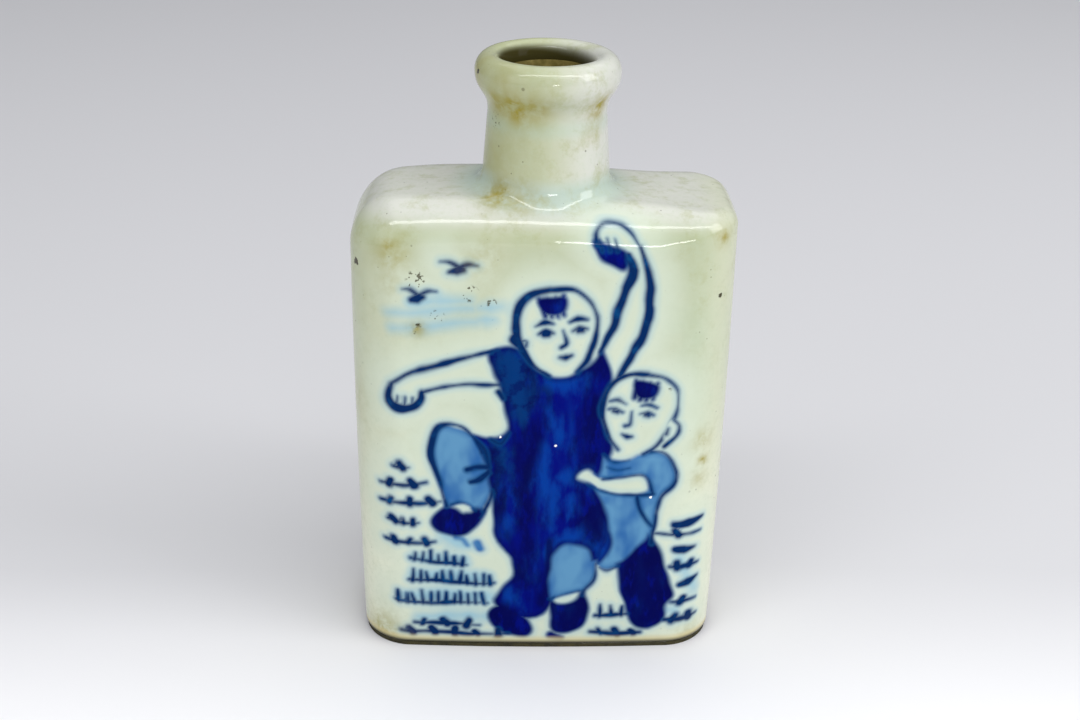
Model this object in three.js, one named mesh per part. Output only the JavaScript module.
// A small porcelain snuff bottle: a flat rectangular flask with rounded shoulders, a short round
// neck and a rolled lip, hollow and open at the mouth.
// Lengths are in millimetres, +Z is up and the painted face looks along -Y. The origin is at the
// middle of the foot, on the surface that the bottle stands on.
import * as THREE from "three";

// Body, outside
const BODY_WIDTH = 41; // along X, over the middle of the bowed ends
const BODY_DEPTH = 19.6; // along Y, over the middle of the bowed faces
const SHOULDER_HEIGHT = 52.6; // the shoulder's crown, beside the neck
const CORNER_RADIUS = 5.2; // the upright edges, in plan
const TIGHT_RADIUS = 4.4; // the upright edge at +X and +Y, which came out tighter
const END_BOW = 0.5; // how far an end stands proud of its own corners
const FACE_BOW = 1.1; // how far a broad face stands proud of its own corners
const BOW_HEIGHT = 47; // the walls bow and lean up to here and keep that plan above it
const BOW_AT_FOOT = 0.6; // share of the bow that is left at the foot and at the shoulder
const FOOT_TAPER = 0.35; // how much nearer each end is at the foot

// Shoulder
const CROWN_FALL = 0.8; // how far the crown falls towards each end
const CROWN_LEAN = 0.5; // how much of that the bottle's left end gains and its right end loses
const EDGE_RADIUS = 4.1; // the long edges, along the broad faces
const LEFT_RADIUS = 5.3; // the short edge at -X
const RIGHT_RADIUS = 1.8; // the short edge at +X
const LEAST_RADIUS = 1; // the rings turn no corner tighter than this
const END_REACH = 10; // length over which the long edges' radius runs into an end's

// Foot
const FOOT_STEP = 0.2; // how far the bare clay of the foot stands in from the glaze
const FOOT_BARE = 0.45; // height of the bare clay
const HEEL_RADIUS = 0.5; // where the glaze turns in above it

// Neck and lip
const NECK_SHIFT = 0.2; // the neck stands this far towards +X
const NECK_FOOT_RADIUS = 6.65;
const NECK_TOP_RADIUS = 6.2;
const NECK_HEIGHT = 7.9; // from the crown to the narrowest place, under the lip
const NECK_FILLET = 2.1; // where the neck grows out of the shoulder
const LIP_RADIUS = 7.55;
const LIP_HEIGHT = 5.9; // from the neck's narrowest place to the top of the lip
const LIP_WIDEST = 4.1; // from the neck's narrowest place to the lip's widest
const BORE_RADIUS = 4.5;
const MOUTH_DEPTH = 1.9; // from the top of the lip down to the straight bore

// Inside
const WALL = 2.2;
const SHOULDER_WALL = 2.4;
const FLOOR = 2.8;
const INNER_HEEL = 2; // radius between the walls and the floor
const BORE_FILLET = 0.6; // where the bore opens into the body

// Fineness
const COLUMNS = 48;
const WALL_ROWS = 6;
const SHOULDER_ROWS = 8;
const FILLET_ROWS = 4;
const NECK_ROWS = 3;
const LIP_ROWS = 5; // in each of the lip's three curves
const HEEL_ROWS = 3;
const CEILING_ROWS = 6;

// Each quarter of a turn goes along half an end, round a corner and along half a face
const END_SHARE = Math.PI / 12;
const CORNER_SHARE = Math.PI / 4;
const FACE_SHARE = Math.PI / 2 - END_SHARE - CORNER_SHARE;

const outer = {
  halfWidth: BODY_WIDTH / 2 - END_BOW,
  halfDepth: BODY_DEPTH / 2 - FACE_BOW,
  crown: SHOULDER_HEIGHT,
  inset: 0,
};
const inner = {
  halfWidth: outer.halfWidth - WALL,
  halfDepth: outer.halfDepth - WALL,
  crown: SHOULDER_HEIGHT - SHOULDER_WALL,
  inset: WALL,
};
const neckTop = SHOULDER_HEIGHT + NECK_HEIGHT;
const lipTop = neckTop + LIP_HEIGHT;

const mix = (from, to, share) => from + (to - from) * share;

function smoothStep(value) {
  const share = THREE.MathUtils.clamp(value, 0, 1);
  return share * share * (3 - 2 * share);
}

// The radius of the upright edge in a quarter of the plan, for a wall that stands in
function cornerRadius(x, y, inset) {
  const radius = x > 0 && y > 0 ? TIGHT_RADIUS : CORNER_RADIUS;
  return Math.max(radius - inset, LEAST_RADIUS);
}

// A point of a rectangle with rounded corners, before its sides are bowed
function planPoint(angle, shell, inset) {
  const cosine = Math.cos(angle);
  const sine = Math.sin(angle);
  const halfWidth = shell.halfWidth - inset;
  const halfDepth = shell.halfDepth - inset;
  const corner = cornerRadius(cosine, sine, shell.inset + inset);
  const turn = Math.atan2(Math.abs(sine), Math.abs(cosine));
  let x = halfWidth;
  let y = halfDepth;
  if (turn < END_SHARE) {
    y = ((halfDepth - corner) * turn) / END_SHARE;
  } else if (turn < END_SHARE + CORNER_SHARE) {
    const arc = (((turn - END_SHARE) / CORNER_SHARE) * Math.PI) / 2;
    x = halfWidth - corner * (1 - Math.cos(arc));
    y = halfDepth - corner * (1 - Math.sin(arc));
  } else {
    x = ((halfWidth - corner) * (Math.PI / 2 - turn)) / FACE_SHARE;
  }
  return new THREE.Vector2(Math.sign(cosine) * x, Math.sign(sine) * y);
}

// How much the bows push a point of the plan outwards along X and along Y
function bowFactors(x, y, height) {
  const level = THREE.MathUtils.clamp(height / BOW_HEIGHT, 0, 1);
  const belly = mix(BOW_AT_FOOT, 1, 4 * level * (1 - level));
  const acrossDepth = 1 - Math.min((y / outer.halfDepth) ** 2, 1);
  const acrossWidth = 1 - Math.min((x / outer.halfWidth) ** 2, 1);
  const taper = (FOOT_TAPER * (1 - level)) / outer.halfWidth;
  return new THREE.Vector2(
    1 + (END_BOW * belly * acrossDepth) / outer.halfWidth - taper,
    1 + (FACE_BOW * belly * acrossWidth) / outer.halfDepth,
  );
}

function bowed(plan, height) {
  const factors = bowFactors(plan.x, plan.y, height);
  return plan.clone().multiply(factors);
}

// The radius of the shoulder's rounding above a point of the plan
function edgeRadius(shell, x) {
  const endRadius = x < 0 ? LEFT_RADIUS : RIGHT_RADIUS;
  const share = smoothStep((Math.abs(x) - outer.halfWidth + END_REACH) / END_REACH);
  return Math.max(mix(EDGE_RADIUS, endRadius, share) - shell.inset, LEAST_RADIUS);
}

function crownHeight(shell, x) {
  const across = x / outer.halfWidth;
  return shell.crown - CROWN_FALL * across * across - CROWN_LEAN * across;
}

// How far a point of the plan lies inside the shell's outline
function depthInside(shell, plan) {
  const corner = cornerRadius(plan.x, plan.y, shell.inset);
  const x = Math.abs(plan.x) - shell.halfWidth + corner;
  const y = Math.abs(plan.y) - shell.halfDepth + corner;
  const outside = Math.hypot(Math.max(x, 0), Math.max(y, 0));
  return corner - outside - Math.min(Math.max(x, y), 0);
}

// The height of the shell's shoulder over a bowed point of the plan
function shoulderHeight(shell, point) {
  const factors = bowFactors(point.x, point.y, BOW_HEIGHT);
  const plan = point.clone().divide(factors);
  const radius = edgeRadius(shell, plan.x);
  const inside = THREE.MathUtils.clamp(depthInside(shell, plan) / radius, 0, 1);
  return crownHeight(shell, plan.x) - radius * (1 - Math.sqrt(1 - (1 - inside) ** 2));
}

const angles = Array.from(
  { length: COLUMNS },
  (_, column) => (2 * Math.PI * column) / COLUMNS,
);

// A ring of the shell's wall: how far it stands in, and its height for each angle
function wallRing(shell, inset, heightAt) {
  return angles.map((angle) => {
    const plan = planPoint(angle, shell, inset);
    const height = heightAt(plan);
    const point = bowed(plan, height);
    return new THREE.Vector3(point.x, point.y, height);
  });
}

function circleRing(radius, height) {
  return angles.map(
    (angle) =>
      new THREE.Vector3(
        NECK_SHIFT + radius * Math.cos(angle),
        radius * Math.sin(angle),
        height,
      ),
  );
}

// The top of the shell's upright wall, where the shoulder's rounding begins
const springing = (shell) => (plan) => crownHeight(shell, plan.x) - edgeRadius(shell, plan.x);

// Rings from the top of the wall, over the shoulder, to the fillet at a round opening or neck
function shoulderRings(shell, rows, radius, fillet) {
  const wallTop = wallRing(shell, 0, springing(shell));
  const circle = circleRing(radius, 0);
  const rings = [];
  for (let row = 1; row <= rows; row++) {
    rings.push(
      wallTop.map((start, column) => {
        const from = new THREE.Vector2(start.x, start.y);
        const to = new THREE.Vector2(circle[column].x, circle[column].y);
        const length = from.distanceTo(to);
        const share = (1 - Math.min(fillet, length / 2) / length) * (row / rows) ** 2;
        const point = from.lerp(to, share);
        return new THREE.Vector3(point.x, point.y, shoulderHeight(shell, point));
      }),
    );
  }
  return rings;
}

// Rings of the fillet between the last shoulder ring and an upright tube above or below it
function filletRings(shell, shoulder, radius, rows, rise) {
  return Array.from({ length: rows }, (_, row) =>
    circleRing(radius, 0).map((foot, column) => {
      const base = shoulderHeight(shell, new THREE.Vector2(foot.x, foot.y));
      const curve = new THREE.QuadraticBezierCurve3(
        shoulder[column],
        new THREE.Vector3(foot.x, foot.y, base),
        new THREE.Vector3(foot.x, foot.y, base + rise),
      );
      return curve.getPoint((row + 1) / rows);
    }),
  );
}

function foot() {
  return [
    wallRing(outer, FOOT_STEP, () => 0),
    wallRing(outer, FOOT_STEP, () => FOOT_BARE),
  ];
}

function heel(shell, radius, base) {
  return Array.from({ length: HEEL_ROWS }, (_, row) => {
    const turn = (((row + 1) / HEEL_ROWS) * Math.PI) / 2;
    return wallRing(
      shell,
      radius * (1 - Math.sin(turn)),
      () => base + radius * (1 - Math.cos(turn)),
    );
  });
}

function wall(shell, base) {
  const top = springing(shell);
  return Array.from({ length: WALL_ROWS }, (_, row) =>
    wallRing(shell, 0, (plan) => mix(base, top(plan), (row + 1) / WALL_ROWS)),
  );
}

function neck(filletTop) {
  return Array.from({ length: NECK_ROWS }, (_, row) => {
    const share = (row + 1) / NECK_ROWS;
    const ring = circleRing(mix(NECK_FOOT_RADIUS, NECK_TOP_RADIUS, share), 0);
    ring.forEach((point, column) => {
      point.z = mix(filletTop[column].z, neckTop, share);
    });
    return ring;
  });
}

// The lip's outline, from the neck's narrowest place, over the top and down to the bore
function lip() {
  const widest = neckTop + LIP_WIDEST;
  const crest = (LIP_RADIUS + BORE_RADIUS) / 2;
  const outline = new THREE.CurvePath();
  outline.add(
    new THREE.CubicBezierCurve(
      new THREE.Vector2(NECK_TOP_RADIUS, neckTop),
      new THREE.Vector2(NECK_TOP_RADIUS, neckTop + LIP_WIDEST / 2),
      new THREE.Vector2(LIP_RADIUS, widest - LIP_WIDEST / 2),
      new THREE.Vector2(LIP_RADIUS, widest),
    ),
  );
  const quarter = (from, corner, to) => {
    const pull = 0.55;
    return new THREE.CubicBezierCurve(
      from,
      from.clone().lerp(corner, pull),
      to.clone().lerp(corner, pull),
      to,
    );
  };
  outline.add(
    quarter(
      new THREE.Vector2(LIP_RADIUS, widest),
      new THREE.Vector2(LIP_RADIUS, lipTop),
      new THREE.Vector2(crest, lipTop),
    ),
  );
  outline.add(
    quarter(
      new THREE.Vector2(crest, lipTop),
      new THREE.Vector2(BORE_RADIUS, lipTop),
      new THREE.Vector2(BORE_RADIUS, lipTop - MOUTH_DEPTH),
    ),
  );
  return outline.curves.flatMap((curve) =>
    curve
      .getPoints(LIP_ROWS)
      .slice(1)
      .map((point) => circleRing(point.x, point.y)),
  );
}

function outsideRings() {
  const heelRings = heel(outer, HEEL_RADIUS, FOOT_BARE);
  const shoulder = shoulderRings(outer, SHOULDER_ROWS, NECK_FOOT_RADIUS, NECK_FILLET);
  const fillet = filletRings(
    outer,
    shoulder.at(-1),
    NECK_FOOT_RADIUS,
    FILLET_ROWS,
    NECK_FILLET,
  );
  return [
    ...foot(),
    ...heelRings,
    ...wall(outer, FOOT_BARE + HEEL_RADIUS),
    ...shoulder,
    ...fillet,
    ...neck(fillet.at(-1)),
    ...lip(),
  ];
}

function insideRings() {
  const shoulder = shoulderRings(inner, CEILING_ROWS, BORE_RADIUS, BORE_FILLET);
  const fillet = filletRings(
    inner,
    shoulder.at(-1),
    BORE_RADIUS,
    FILLET_ROWS,
    BORE_FILLET,
  );
  const upwards = [
    wallRing(inner, INNER_HEEL, () => FLOOR),
    ...heel(inner, INNER_HEEL, FLOOR),
    ...wall(inner, FLOOR + INNER_HEEL),
    ...shoulder,
    ...fillet,
  ];
  return upwards.reverse();
}

// A closed skin over rings of points, with a point at each end
function skin(first, rings, last) {
  const points = [first, ...rings.flat(), last];
  const index = [];
  const at = (ring, column) => 1 + ring * COLUMNS + (column % COLUMNS);
  for (let column = 0; column < COLUMNS; column++) {
    index.push(0, at(0, column + 1), at(0, column));
    for (let ring = 0; ring + 1 < rings.length; ring++) {
      const low = at(ring, column);
      const lowNext = at(ring, column + 1);
      const high = at(ring + 1, column);
      const highNext = at(ring + 1, column + 1);
      index.push(low, lowNext, highNext, low, highNext, high);
    }
    const top = rings.length - 1;
    index.push(at(top, column), at(top, column + 1), points.length - 1);
  }
  const geometry = new THREE.BufferGeometry().setFromPoints(points);
  geometry.setIndex(index);
  geometry.computeVertexNormals();
  return geometry;
}

const porcelain = new THREE.MeshStandardMaterial({
  color: new THREE.Color(0.74, 0.77, 0.66),
  roughness: 0.15,
  metalness: 0,
});

const bottle = new THREE.Mesh(
  skin(
    new THREE.Vector3(0, 0, 0),
    [...outsideRings(), ...insideRings()],
    new THREE.Vector3(0, 0, FLOOR),
  ),
  porcelain,
);
bottle.name = "bottle";

const snuffBottle = new THREE.Group();
snuffBottle.add(bottle);

export default snuffBottle;
